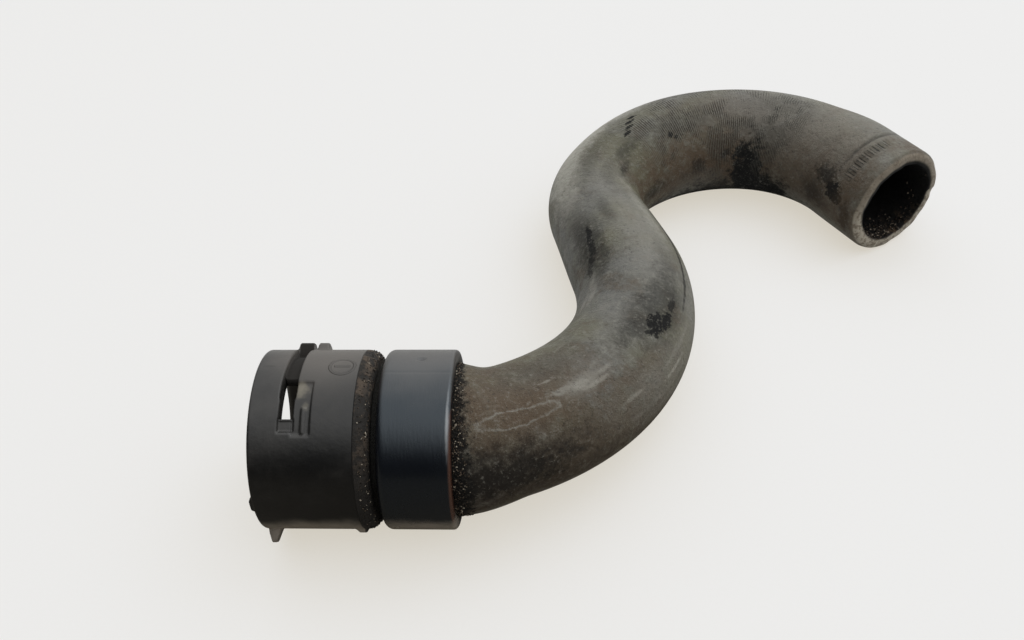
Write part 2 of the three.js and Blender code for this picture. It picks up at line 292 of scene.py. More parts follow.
def hose_surface(sizes, along, radius, angles):
    """The wall (along, radius) carried along the route.

    Height sinks smoothly from the socket's axis to the hose's own radius. Each ring stands square to
    the route, a point at angle a lying radius sin a to the left and radius cos a up.
    """
    hose_radius = (sizes.bore + sizes.wall) / MM
    cuff = (sizes.cuff_wall - sizes.wall) / MM

    def height(distance):
        sunk = smooth(distance, GRIP, GRIP + SETTLE)
        return AXIS_Z / MM * (1 - sunk) + hose_radius * sunk + cuff * cuff_share(distance) - waist(distance)

    x, y, heading = route(along)
    slope = height(along + 0.5) - height(along - 0.5)
    level = np.sqrt(1 + slope * slope)
    tangent = np.stack([np.cos(heading), np.sin(heading), slope], axis=-1) / level[..., None]
    side = np.stack([-np.sin(heading), np.cos(heading), 0 * heading], axis=-1)
    up = np.cross(tangent, side)
    centre = np.stack([MOUTH_X / MM + x, AXIS_Y / MM + y, height(along)], axis=-1)
    left, rise = radius * np.sin(angles), radius * np.cos(angles)
    points = centre + side * left[..., None] + up * rise[..., None]
    return points * MM


# Shader formulas


def node_operator(operation, swapped=False):
    """A method that adds a Math node of its formula and another value, in this order or swapped."""
    def operate(self, other):
        values = (other, self) if swapped else (self, other)
        return self.finish.maths(operation, *values)
    return operate


class Formula:
    """A socket of a shader that can stand in a formula; each operator adds its Math node."""

    def __init__(self, finish, socket):
        self.finish = finish
        self.socket = socket

    __add__, __radd__ = node_operator("ADD"), node_operator("ADD", True)
    __sub__, __rsub__ = node_operator("SUBTRACT"), node_operator("SUBTRACT", True)
    __mul__, __rmul__ = node_operator("MULTIPLY"), node_operator("MULTIPLY", True)
    __truediv__, __rtruediv__ = node_operator("DIVIDE"), node_operator("DIVIDE", True)


class Finish:
    """A material or world whose shader is written in formulas."""

    def __init__(self, owner):
        self.owner = owner
        owner.use_nodes = True
        self.tree = owner.node_tree
        self.tree.nodes.clear()

    def node(self, kind, settings=None, **inputs):
        """Adds a node, sets its settings, then gives its sockets values or links.

        Sockets are named in lower case with low lines, or by number as n0, n1.
        """
        made = self.tree.nodes.new(kind)
        for key, setting in (settings or {}).items():
            setattr(made, key, setting)
        names = {socket.name.lower().replace(" ", "_"): socket
                 for socket in reversed(made.inputs) if socket.enabled}
        for key, given in inputs.items():
            socket = made.inputs[int(key[1:])] if key[1:].isdigit() else names[key]
            if isinstance(given, Formula):
                self.tree.links.new(given.socket, socket)
            else:
                socket.default_value = given
        return made

    def result(self, kind, settings=None, output=0, **inputs):
        """Adds a node and gives one of its outputs, by number or name."""
        return Formula(self, self.node(kind, settings, **inputs).outputs[output])

    def maths(self, operation, *values):
        inputs = {f"n{i}": value for i, value in enumerate(values)}
        return self.result("ShaderNodeMath", {"operation": operation}, **inputs)

    def place(self, stretch=(1, 1, 1)):
        """The point's place in the part's frame, in metres, each axis times its stretch."""
        coordinates = self.result("ShaderNodeTexCoord", output="Object")
        return self.result("ShaderNodeVectorMath", {"operation": "MULTIPLY"}, n0=coordinates, n1=stretch)

    def parts(self, vector):
        """The x, y and z of a vector."""
        split = self.node("ShaderNodeSeparateXYZ", n0=vector)
        return [Formula(self, output) for output in split.outputs]

    def unrolled(self):
        """Distance along the piece in millimetres and its turn from 0 to 1, from the UV map."""
        along, turn, _ = self.parts(self.result("ShaderNodeUVMap", {"uv_map": "unrolled"}))
        return along * 100, turn

    def noise(self, vector, scale, detail=4.0, roughness=0.55):
        """Cloudy noise of about 0 to 1, its middle at one half."""
        return self.result("ShaderNodeTexNoise", vector=vector, scale=scale, detail=detail,
                           roughness=roughness)

    def step(self, value, low, high):
        """Smooth step from 0 at low to 1 at high; falls where low is above high."""
        first, last = (1.0, 0.0) if low > high else (0.0, 1.0)
        return self.result("ShaderNodeMapRange", {"interpolation_type": "SMOOTHSTEP"}, value=value,
                           from_min=min(low, high), from_max=max(low, high), to_min=first, to_max=last)

    def mix(self, share, first, second):
        """The colour first, turned into second by the share."""
        settings = {"data_type": "RGBA", "clamp_factor": True}
        return self.result("ShaderNodeMix", settings, 2, n0=share, n6=first, n7=second)

    def layered(self, colour, layers):
        """The colour with each layer (noise, from, to, strength, tint) laid over it in turn."""
        for noise, low, high, strength, tint in layers:
            colour = self.mix(self.step(noise, low, high) * strength, colour, tint)
        return colour

    def patch(self, along, turn, place, wobble, soft=0.35, ragged=1.4):
        """A stain about place = (along mm, angle, half length mm, half width in degrees), its rim bent
        by the wobble."""
        distance, angle, long, wide = place
        x = (along - distance) / long
        away = self.maths("PINGPONG", turn - angle / 360 + 1.0, 0.5)
        y = away * (360 / wide)
        reach = self.maths("SQRT", x * x + y * y) + (wobble - 0.5) * ragged
        return self.step(reach, 1 + soft, 1 - soft)

    def bumped(self, height, distance):
        return self.result("ShaderNodeBump", strength=1.0, distance=distance, height=height)

    def ended(self, shader, kind):
        """Joins the shader to an output node of this kind and returns the material or world."""
        output = self.tree.nodes.new(kind)
        self.tree.links.new(shader.outputs[0], output.inputs[0])
        return self.owner

    def done(self, **sockets):
        """Ends a material in a Principled shader."""
        return self.ended(self.node("ShaderNodeBsdfPrincipled", **sockets), "ShaderNodeOutputMaterial")


def new_finish(name):
    return Finish(bpy.data.materials.new(name))


def most(first, *others):
    """The largest of several masks."""
    for other in others:
        first = first.finish.maths("MAXIMUM", first, other)
    return first


# Noises of the hose, from wide to fine: (scale, detail, roughness)
HOSE_NOISES = {"clouds": (28.0, 5.0, 0.55), "drifts": (48.0, 7.0, 0.68), "blotches": (95.0, 7.0, 0.7),
               "wobble": (230.0, 6.0, 0.75), "nicks": (560.0, 5.0, 0.75), "speckle": (950.0, 4.0, 0.75)}


def hose_finish(colours, length):
    """Weathered rubber: grey on top, olive and brown in clouds, black scuffs, pale stains and dust, with
    painted sheen, bounce light and shade in some patches and painted shade where it leaves the sleeve.
    """
    f = new_finish("hose_rubber")
    along, turn = f.unrolled()
    place = f.place()
    grain = SimpleNamespace(**{name: f.noise(place, *row) for name, row in HOSE_NOISES.items()})
    streaks = f.noise(f.result("ShaderNodeCombineXYZ", n0=along * 0.02, n1=turn * 9.0), 7.0, 6.0, 0.7)
    colour = f.mix(f.step(grain.clouds, 0.36, 0.64), colours.rubber, colours.rubber_olive)
    colour = f.layered(colour, (
        (grain.drifts, 0.5, 0.68, 0.7, colours.rubber_deep),
        (grain.blotches, 0.5, 0.7, 0.6, colours.rubber_brown),
        (streaks, 0.52, 0.72, 0.45, colours.rubber_pale),
        (grain.drifts, 0.47, 0.32, 0.4, colours.rubber_pale),
        (grain.wobble, 0.53, 0.68, 0.35, colours.rubber_pale),
        (grain.wobble, 0.46, 0.32, 0.3, colours.rubber_deep)))
    colour, stains_and_shade = stained_rubber(f, colours, colour, along, turn, grain)
    colour, ribs = ribbed_rubber(f, colours, colour, along, turn, grain)
    colour = printed_cuff(f, colours, colour, along, turn, grain, length)
    colour = f.layered(colour, (
        (grain.nicks, 0.58, 0.66, 0.35, colours.rubber_pale),
        (grain.nicks, 0.42, 0.33, 0.4, colours.rubber_deep),
        (grain.speckle, 0.56, 0.68, 0.36, colours.rubber_pale),
        (grain.speckle, 0.43, 0.3, 0.6, colours.rubber_dark)))
    # Dark band where the hose leaves the sleeve: partly grit, partly painted shade in the gap
    exit_dirt_and_shade = f.step(along + (grain.nicks - 0.5) * 9, GRIP + 4.0, GRIP + 1.5)
    colour = f.mix(exit_dirt_and_shade * 0.95, colour, colours.rubber_dark)
    colour, bore = cut_end(f, colours, colour, along, turn, grain, length)
    height = grain.speckle * 0.45 + grain.nicks * 0.5 + grain.blotches * 0.8 + grain.wobble * 0.9 + ribs * 0.4
    rough = 0.52 + (grain.blotches - 0.5) * 0.5 + most(bore, exit_dirt_and_shade, stains_and_shade) * 0.35
    return f.done(base_color=colour, roughness=rough, specular_ior_level=0.3,
                  normal=f.bumped(height, 0.0009))


def stained_rubber(f, colours, colour, along, turn, grain):
    """The colour with its patches (stains, and some painted sheen and shade) and rimmed stains, and the mask
    of the last, dark patches.
    """
    for name, patches in PATCHES.items():
        masks = []
        for *place_and_size, soft, strength in patches:
            small = place_and_size[2] < 5.5
            rim_noise, ragged = (grain.nicks, 3.2) if small else (grain.wobble, 3.0)
            masks.append(f.patch(along, turn, place_and_size, rim_noise, soft, ragged) * strength)
        stains_and_shade = most(*masks)
        colour = f.mix(stains_and_shade, colour, getattr(colours, name))
    for distance, angle, long, wide in RIMMED_STAINS:
        outer, inner = (f.patch(along, turn, (distance, angle, long * longer, wide * wider),
                                grain.blotches, 0.12, 1.6) for longer, wider in ((1, 1), (0.88, 0.84)))
        rim = (outer - inner) * f.step(grain.wobble, 0.36, 0.5)
        colour = f.mix(rim * 0.75, colour, colours.rubber_pale)
        colour = f.mix(inner * 0.3, colour, colours.rubber_brown)
    return colour, stains_and_shade


def ribbed_rubber(f, colours, colour, along, turn, grain):
    """The colour with the fine ribs round the far bend, and the height of the ribs."""
    ribbed = f.step(along, 200, 215) * f.step(along, 294, 280)
    ribbed = ribbed * f.patch(along, turn, (248, -34, 66, 70), grain.blotches)
    ribbed = ribbed * f.step(grain.blotches, 0.42, 0.58) * f.step(grain.drifts, 0.4, 0.54)
    ribs = f.maths("SINE", along * 6.4 + (grain.wobble - 0.5) * 3.0 + (grain.blotches - 0.5) * 9.0)
    colour = f.mix(ribbed * f.step(ribs, 0.1, 0.9) * 0.6, colour, colours.rubber_pale)
    colour = f.mix(ribbed * f.step(ribs, -0.2, -0.9) * 0.3, colour, colours.rubber_dark)
    return colour, ribbed * ribs


def printed_cuff(f, colours, colour, along, turn, grain, length):
    """The colour with a browner cuff, the dark print of a clamp and the crease behind it, the crease painted
    darker as shade.
    """
    cuff = f.step(along, length - 20, length - 8) * f.step(grain.blotches, 0.38, 0.6)
    colour = f.mix(cuff * 0.55, colour, colours.rubber_brown)
    middle = length - PRINT_PLACE
    notches = f.step(f.maths("COSINE", turn * (200 * math.pi)), 0.2, 0.8)
    in_band = f.step(along, middle - 2.3, middle - 1.6) * f.step(along, middle + 2.3, middle + 1.6)
    printed = in_band * notches * f.patch(along, turn, (middle, -28, 20, 30), grain.wobble, 0.2, 1.0)
    # Painted shade: the crease is darkened with the dark rubber colour
    crease = f.patch(along, turn, (middle - 4.8, -6, 0.7, 42), grain.blotches, 0.5, 1.6)
    return f.mix(most(printed * 0.75, crease * 0.45), colour, colours.rubber_dark)


def cut_end(f, colours, colour, along, turn, grain, length):
    """The colour with the pale cut face, browner near the top, and the black bore, dusty below and reaching
    onto the face near the top as painted shade, and the bore's mask.
    """
    from_top = f.maths("PINGPONG", turn + 1.0, 0.5)
    browned = most(f.step(grain.nicks, 0.46, 0.56) * 0.7, f.step(from_top, 0.3, 0.16) * 0.5)
    face = f.mix(browned, colours.cut_face, colours.rubber_brown)
    colour = f.mix(f.step(along, length - 1.3, length - 0.5), colour, face)
    bore_edge = length + FACE_WIDTH
    # Painted shade: near the top the bore's black reaches 1.5 mm further onto the face, where the inner lip
    # is in shade
    shaded = along + f.step(from_top, 0.34, 0.14) * 1.5
    bore = f.step(shaded, bore_edge - 1.2, bore_edge + 0.6)
    near = f.step(along, bore_edge + 12, bore_edge) * f.step(from_top, 0.28, 0.45)
    dust = f.step(grain.wobble, 0.48, 0.62) * near * 0.95
    return f.mix(bore, colour, f.mix(dust, colours.bore, colours.rubber_brown)), bore


# Stains on the hose, and patches of painted sheen, bounce light and shade: (along mm, angle, half length mm,
# half width degrees, softness, strength)
PATCHES = {
    # The large patches at 44, 245 and 298 mm on the front side darken the hose towards the bottom: partly
    # grime, partly painted shade
    "rubber_brown": (
        (44, -84, 34, 44, 0.8, 0.8), (245, -85, 60, 44, 0.7, 1.0), (298, -70, 34, 66, 0.7, 0.9),
        (262, -30, 36, 34, 0.8, 0.5), (36, -24, 22, 44, 0.9, 0.95), (57, -30, 9, 10, 0.6, 0.6),
        (75, -48, 10, 9, 0.6, 0.5)),
    # Dusty patches; the one at 194 mm, 46 degrees is painted sheen on the far bend's top, the one at 94 mm,
    # -70 degrees painted light on the front of the long bend after the sleeve
    "rubber_pale": (
        (112, 48, 9, 4, 0.6, 0.7), (102, 44, 8, 4, 0.6, 0.7), (97, 52, 9, 3, 0.6, 0.6),
        (84, -80, 20, 4, 0.6, 0.5), (94, -70, 26, 20, 0.9, 0.4), (292, -12, 30, 50, 0.9, 0.5),
        (186, 40, 26, 18, 0.8, 0.5), (92, -62, 14, 3, 0.6, 0.6), (194, 46, 32, 22, 0.9, 0.7),
        (134, -16, 34, 24, 0.9, 0.5), (168, -10, 22, 26, 0.9, 0.4), (232, -108, 14, 16, 0.6, 0.35),
        (56, -26, 6, 7, 0.6, 0.6), (50, -24, 4, 3, 0.4, 0.7), (100, -92, 26, 8, 0.8, 0.5),
        (324, -94, 1.4, 5, 0.5, 0.6)),
    "rubber_deep": (
        (152, 48, 24, 13, 0.8, 0.8), (184, 12, 12, 13, 0.8, 0.5), (174, -14, 10, 9, 0.8, 0.5),
        (84, -10, 14, 12, 0.8, 0.6), (228, -26, 13, 12, 0.8, 0.5), (276, -8, 12, 16, 0.8, 0.5),
        (274, -48, 11, 14, 0.8, 0.6), (46, 4, 12, 14, 0.8, 0.5), (116, -30, 12, 10, 0.8, 0.5)),
    # Pale bloom specks, with painted sheen on the top where the far bend begins (194 to 206 mm along) and
    # painted bounce light on the lower front edges (angles -120 to -132)
    "rubber_bloom_and_sheen": (
        (194, 46, 30, 18, 0.9, 1.0), (206, 62, 20, 18, 0.9, 0.8), (150, -36, 20, 8, 0.8, 0.35),
        (55, -26, 3, 3, 0.6, 0.3), (60, -31, 4, 2, 0.6, 0.35), (64, -25, 3, 2, 0.6, 0.3),
        (68, -60, 3, 2, 0.5, 0.35), (47, -11, 1.8, 1.0, 0.5, 0.35), (86, -72, 5, 2, 0.4, 0.5),
        (55, -132, 44, 13, 0.8, 0.6), (300, -128, 30, 14, 0.8, 0.4), (225, -120, 14, 10, 0.8, 0.35)),
    # Mostly scuffs and black spots; the patches at 240 mm, -150 degrees and 272 mm, -126 degrees are painted
    # shade under the inner side of the far bend
    "rubber_dark": (
        (28, -78, 22, 24, 0.7, 0.85), (34, -94, 26, 16, 0.7, 0.45), (262, -98, 10, 42, 0.2, 1.0),
        (321, -80, 2.4, 7, 0.15, 1.0), (272, -126, 18, 34, 0.4, 1.0), (240, -150, 60, 36, 0.5, 0.9),
        (318.5, -76, 3.4, 10, 0.15, 1.0), (313, -66, 5, 10, 0.5, 0.75), (326.5, -96, 3, 16, 0.5, 0.8),
        (308, -92, 7, 14, 0.7, 0.6), (89, -31, 5, 9, 0.25, 1.0), (93, -38, 4, 6, 0.25, 1.0),
        (97, -28, 14, 20, 0.8, 0.6), (100, -38, 3, 4, 0.3, 0.9), (84, -18, 8, 10, 0.7, 0.5),
        (142, 37, 3.5, 3, 0.3, 1.0), (138, 40, 4, 4, 0.3, 1.0), (133, 42, 4.5, 4, 0.3, 0.95),
        (128, 46, 5, 4, 0.3, 0.9), (121, 50, 5, 4, 0.4, 0.8), (134, 42, 20, 14, 0.9, 0.65),
        (128, 30, 6, 5, 0.5, 0.6), (205, -8, 2.2, 2.4, 0.25, 1.0), (208, -2, 2.2, 2.4, 0.25, 1.0),
        (211, 4, 2.4, 2.2, 0.25, 1.0), (213, 10, 2, 2.2, 0.25, 1.0), (220.5, -37, 1.4, 3, 0.25, 1.0),
        (223, -42, 1.2, 2.4, 0.25, 0.9), (128, -52, 24, 2.2, 0.5, 0.8), (200, -88, 10, 9, 0.6, 0.6),
        (196, -22, 8, 8, 0.8, 0.5), (186, -34, 7, 5, 0.6, 0.6), (150, 10, 7, 6, 0.8, 0.4),
        (248, -72, 3, 5, 0.5, 0.8), (232, -80, 4, 8, 0.5, 0.6)),
}
RIMMED_STAINS = ((37, -33, 9.5, 7.5),)


def round_socket(f):
    """Distance from the mouth in millimetres, turn from 0 to 1 round the socket's axis, and height."""
    x, y, z = f.parts(f.place())
    along = (x - MOUTH_X) / MM
    turn = f.maths("ARCTAN2", AXIS_Y - y, z - AXIS_Z) / (2 * math.pi)
    return along, turn + 1.0, z


def socket_finish(colours):
    """Moulded plastic: black with a dusty bloom on the top, gritty round its shoulder, with a painted
    reflection of the table along the bottom front.
    """
    f = new_finish("socket_plastic")
    along, turn, z = round_socket(f)
    place = f.place()
    bloom = f.noise(place, 70.0, 6.0, 0.6)
    fine = f.noise(place, 700.0, 3.0, 0.6)
    wobble = f.noise(place, 260.0, 4.0, 0.6)
    upper = f.step(z, AXIS_Z - 0.002, AXIS_Z + 0.018)
    colour = f.mix(f.step(bloom, 0.4, 0.7) * (0.15 + upper * 0.6), colours.socket, colours.socket_bloom)
    dusty = f.patch(along, turn, (20, -28, 14, 30), bloom, 0.7)
    colour = f.mix(dusty * (0.35 + bloom * 0.5), colour, colours.socket_dust)
    dirt = f.patch(along, turn, (14.4, 9, 1.5, 5), wobble, 0.7, 3.0)
    dirt = most(dirt, f.patch(along, turn, (16.0, 22, 0.8, 2.5), wobble, 0.6, 3.0) * 0.5)
    colour = f.mix(dirt * 0.45, colour, colours.dry_dirt)
    # Painted reflection: a pale band low on the front stands in for the table's light mirrored there
    under = f.patch(along, turn, (22, 122, 26, 15), bloom, 0.6)
    colour = f.mix(under * 0.95, colour, colours.painted_table_reflection)
    dash = f.patch(along, turn, (3.5, -9, 1.9, 1.0), wobble, 0.2)
    groove = f.step(along, SLOT[0] - 0.2, SLOT[0] + 0.3) * f.step(along, SLOT[1] + 0.3, SLOT[1] - 0.2)
    groove = groove * f.patch(along, turn, (10.6, -50, 30, 60), bloom, 0.1)
    shoulder = f.step(along, 29.4, 29.8)
    soiled = f.mix(f.step(wobble, 0.45, 0.62) * f.step(z, AXIS_Z + 0.004, AXIS_Z + 0.024) * 0.7,
                   colours.grit_dark, colours.grit_brown)
    colour = f.mix(most(dash * 0.7, groove), colour, colours.grit_dark)
    colour = f.mix(shoulder * 0.95, colour, soiled)
    mark = plain_mark(f, along, turn)
    colour = f.mix(mark * 0.3, colour, colours.grit_dark)
    height = fine * 0.25 + mark * 1.2 + shoulder * wobble * 4.0
    rough = 0.36 + (bloom - 0.5) * 0.3 + dusty * 0.12 + most(shoulder, groove) * 0.55
    return f.done(base_color=colour, roughness=rough, specular_ior_level=0.62,
                  normal=f.bumped(height, 0.00022))


def plain_mark(f, along, turn):
    """The mask of a ring with a bar in it; distances are in millimetres on the socket's outside."""
    x = along - MARK_PLACE
    y = f.maths("PINGPONG", turn - MARK_ANGLE / 360 + 1.0, 0.5) * (2 * math.pi * SOCKET_RADIUS)
    reach = f.maths("SQRT", x * x + y * y)
    ring = f.step(reach, 3.0, 3.3) * f.step(reach, 4.1, 3.8)
    bar = f.step(y, 0.55, 0.35) * f.step(reach, 2.4, 2.1)
    return most(ring, bar)


def sleeve_finish(colours):
    """Smooth black plastic with a dusty top, faint scratches round it, rusty dirt on its back edge, a painted
    highlight along that edge and a painted reflection of the table low down.
    """
    f = new_finish("sleeve_plastic")
    along, turn, z = round_socket(f)
    place = f.place()
    bloom = f.noise(place, 60.0, 6.0, 0.6)
    fine = f.noise(f.place((6, 1, 1)), 260.0, 3.0, 0.6)
    wobble = f.noise(place, 400.0, 4.0, 0.6)
    dusty = f.patch(along, turn, (46, -26, 18, 30), bloom, 0.8)
    colour = f.mix(dusty * (0.3 + bloom * 0.4), colours.sleeve, colours.socket_dust)
    rust = f.step(along, 55.6, 56.2) * f.patch(along, turn, (56, 75, 9, 48), wobble, 0.3)
    colour = f.mix(rust * 0.6, colour, colours.rust)
    # Painted reflection: a pale band low on the front stands in for the table's light mirrored there
    under = f.patch(along, turn, (46, 122, 30, 15), bloom, 0.6)
    colour = f.mix(under * 0.95, colour, colours.painted_table_reflection)
    # Painted highlight: a pale streak on the rounded back edge stands in for the light it catches
    worn = f.patch(along, turn, (55.6, 33, 0.35, 15), fine, 0.8)
    colour = f.mix(worn * 0.7, colour, colours.edge_highlight)
    rough = 0.27 + (bloom - 0.5) * 0.2 + dusty * 0.15
    return f.done(base_color=colour, roughness=rough, specular_ior_level=0.8,
                  specular_tint=tuple(colours.sleeve_sheen), normal=f.bumped(fine, 0.00008))


def grit_finish(colours):
    """Grains from black to pale sand."""
    f = new_finish("road_grit")
    tone = f.noise(f.place(), 1100.0, 1.0)
    colour = f.mix(f.step(tone, 0.5, 0.58), colours.grit_dark, colours.grit_brown)
    colour = f.mix(f.step(tone, 0.62, 0.67), colour, colours.grit_pale)
    return f.done(base_color=colour, roughness=0.7, specular_ior_level=0.3)


def seal_finish():
    """Smooth black rubber, slightly clouded and grained."""
    f = new_finish("seal_rubber")
    cloud = f.noise(f.place(), 400.0, 3.0)
    tint = f.mix(cloud * 0.4, (0.012, 0.012, 0.012, 1), (0.0072, 0.0072, 0.0072, 1))
    return f.done(base_color=tint, roughness=0.45, normal=f.bumped(cloud, 0.0001))


# Properties


def colour_property(name, description, default):
    return FloatVectorProperty(name=name, description=description, subtype="COLOR", size=4, min=0, max=1,
                               default=default + (1.0,))


def length_property(name, description, millimetres):
    return FloatProperty(name=name, description=description, default=millimetres * MM, min=0, unit="LENGTH",
                         subtype="DISTANCE", precision=4)


class HoseSizes(bpy.types.PropertyGroup):
    bore: length_property("Bore radius", "Radius of the hose's bore", 16.0)
    wall: length_property("Wall", "Thickness of the hose's wall", 4.0)
    cuff_wall: length_property("Cuff wall", "Thickness of the wall at the cut end", 4.8)
    stretch: length_property("Stretch", "How far the stem widens the hose", 2.4)
    lip: length_property("Lip", "Radius of the cut end's worn outer edge", 2.6)
    columns: IntProperty(name="Columns", description="Points round the hose", default=144, min=24)


class SocketSizes(bpy.types.PropertyGroup):
    slot_depth: length_property("Slot depth", "Depth of the groove for the clip", 2.4)
    recess_depth: length_property("Recess depth", "Depth of the recess behind each window", 0.8)
    ridge_height: length_property("Ridge height", "Height of the two ridges over the clip's bridge", 2.1)
    key_height: length_property("Key height", "Height of the pointed key under the mouth", 4.0)


class SleeveSizes(bpy.types.PropertyGroup):
    front_round: length_property("Front rounding", "Radius of the edge towards the socket", 2.2)
    back_round: length_property("Back rounding", "Radius of the edge towards the hose", 1.2)


class Colours(bpy.types.PropertyGroup):
    rubber: colour_property("Rubber", "Weathered grey of the hose", (0.135, 0.135, 0.125))
    rubber_olive: colour_property("Olive rubber", "Olive clouds on the hose", (0.13, 0.125, 0.082))
    rubber_deep: colour_property("Deep grey rubber", "Darker clouds on the hose", (0.058, 0.055, 0.045))
    # Also partly painted shade low on the hose's front side
    rubber_brown: colour_property("Brown rubber", "Brown clouds on the hose", (0.1, 0.07, 0.044))
    # Also painted light in two patches, as listed in PATCHES
    rubber_pale: colour_property("Pale rubber", "Dusty streaks on the hose", (0.27, 0.262, 0.23))
    # Also painted sheen and painted bounce light, as listed in PATCHES
    rubber_bloom_and_sheen: colour_property("Bloomed rubber", "Palest bloom on the hose", (0.42, 0.41, 0.36))
    # Also painted shade in the crease, under the far bend and where the hose leaves the sleeve
    rubber_dark: colour_property("Dark rubber", "Scuffed and wet-looking rubber", (0.004, 0.004, 0.004))
    cut_face: colour_property("Cut face", "Pale rubber of the cut end", (0.42, 0.38, 0.31))
    bore: colour_property("Bore", "Black inside of the hose", (0.006, 0.006, 0.006))
    socket: colour_property("Socket", "Black of the socket", (0.006, 0.006, 0.006))
    socket_bloom: colour_property("Socket bloom", "Grey bloom on the plastics", (0.035, 0.033, 0.031))
    socket_dust: colour_property("Dust", "Brown-grey dust on the plastics", (0.14, 0.125, 0.11))
    # Painted reflection of the table, low on the front of the socket and the sleeve
    painted_table_reflection: colour_property("Dust below", "Pale dust low on the plastics", (0.36, 0.32, 0.275))
    dry_dirt: colour_property("Dry dirt", "Yellowish dirt in the recess", (0.3, 0.27, 0.2))
    sleeve: colour_property("Sleeve", "Blue-black of the sleeve", (0.004, 0.005, 0.008))
    sleeve_sheen: colour_property("Sleeve sheen", "Tint of what the sleeve mirrors", (0.78, 0.9, 1.0))
    # Painted highlight on the sleeve's rounded back edge
    edge_highlight: colour_property("Worn edge", "Polished pale edge of the sleeve", (0.36, 0.37, 0.38))
    rust: colour_property("Rusty dirt", "Brown-red dirt on the sleeve's edge", (0.11, 0.045, 0.025))
    grit_dark: colour_property("Dark grit", "Black of the grit", (0.012, 0.01, 0.008))
    grit_brown: colour_property("Brown grit", "Brown earth in the grit", (0.09, 0.065, 0.045))
    grit_pale: colour_property("Pale grit", "Pale sand in the grit", (0.42, 0.38, 0.31))
    table: colour_property("Table", "Part of the table's colour that shadows take away",
                           (0.225, 0.262, 0.335))
    table_glow: colour_property("Table glow", "Part of the table's colour that stays in shadow",
                                (0.62, 0.58, 0.5))
    table_bounce: colour_property("Table bounce", "The table in front, as reflections see it",
                                  (0.34, 0.31, 0.26))
    table_behind: colour_property("Table behind", "The table behind, as reflections see it",
                                  (0.7, 0.7, 0.68))


class StageSettings(bpy.types.PropertyGroup):
    key_light: FloatProperty(name="Key light", description="Power of the large soft lamp", default=2.4,
                             unit="POWER")
    room_light: FloatProperty(name="Room light", description="Strength of the light from above", default=1.15)
    grains: IntProperty(name="Grains", description="Grains of grit at each dirty place", default=1500, min=0)
    grain_size: length_property("Grain size", "Largest grain of the grit", 0.55)


# Operators


class HOSE_OT_hose(bpy.types.Operator):
    """Builds the hose, its wall carried along the route"""
    bl_idname = "hose.hose"
    bl_label = "Hose"

    def execute(self, context):
        sizes = context.scene.hose_sizes
        length = hose_length()
        along, radius, unrolled = hose_profile(sizes, length)
        turn = np.arange(sizes.columns) / sizes.columns
        depth, cut = hose_wear(turn, unrolled, length)
        points = hose_surface(sizes, along[:, None] - cut, radius[:, None] - depth, 2 * np.pi * turn)
        # No point lies below the table
        points[..., 2] = np.maximum(points[..., 2], 0)
        faces = quads(len(along), sizes.columns)
        corners = unrolled_corners(unrolled / 100, turn, sizes.columns, faces)
        finish = hose_finish(context.scene.hose_colours, length)
        add_piece("moulded_hose", points, faces, finish, "hose", corners)
        return {"FINISHED"}


def hose_profile(sizes, length):
    """The wall's outline as (along, radius, distance on the unrolled wall) in millimetres.

    It runs along the outside, round a quarter circle at the cut end, across the cut face and back
    through the bore.
    """
    bore, wall, cuff, lip = sizes.bore / MM, sizes.wall / MM, sizes.cuff_wall / MM, sizes.lip / MM
    outside = np.concatenate([np.linspace(START_CHAMFER, GRIP - 2, 8),
                              np.linspace(GRIP - 1, length - lip - 0.5, 430)])
    rounding = np.radians(np.linspace(0, 90, 9))
    inside = np.concatenate([np.linspace(length, length - 12, 14), np.linspace(length - 15, 0, 70)])
    along = np.concatenate([[0.0], outside, length - lip + lip * np.sin(rounding), inside])
    outer = bore + wall + (cuff - wall) * cuff_share(outside)
    rim = bore + cuff - lip + lip * np.cos(rounding)
    radius = np.concatenate([[outer[0] - START_CHAMFER], outer, rim, 0 * inside + bore])
    radius = radius + (sizes.stretch / MM * stretch_share(along) - waist(along))
    unrolled = np.concatenate([[0.0], outside, length + np.linspace(-lip, 1, len(rounding)),
                               length + FACE_WIDTH + length - inside])
    return along, radius, unrolled


def hose_wear(turn, unrolled, length):
    """(how deep the surface is worn, how far the cut end is worn back), in millimetres.

    A clamp's print is a row of notches, a cosine of the angle within a narrow band along the hose.
    The rim is worn back by a sum of sines of the angle, deeper at one nick.
    """
    degrees = (turn[None] * 360 + 180) % 360 - 180
    unrolled = unrolled[:, None]
    middle = length - PRINT_PLACE
    band = within(unrolled, middle - 2, middle + 2, 1.0)
    notches = band * smooth(np.cos(np.radians(degrees * 100)), 0.1, 0.9) * within(degrees, -56, 0, 8)
    crease = within(unrolled, middle - 5.4, middle - 4.2, 0.8) * within(degrees, -45, 35, 20)
    depth = (unrolled < length - 2) * (0.8 * notches + 0.6 * crease)
    angle = np.radians(degrees)
    ragged = 0.25 * np.sin(3 * angle + 0.6) + 0.18 * np.sin(7 * angle) + 0.1 * np.sin(17 * angle + 1)
    nick = 0.8 * within(degrees, 92, 103, 7)
    bore_edge = length + FACE_WIDTH
    near = smooth(unrolled, length - 5, length - 1) * smooth(-unrolled, -(bore_edge + 5), -bore_edge)
    return depth, near * (0.55 + ragged + nick)


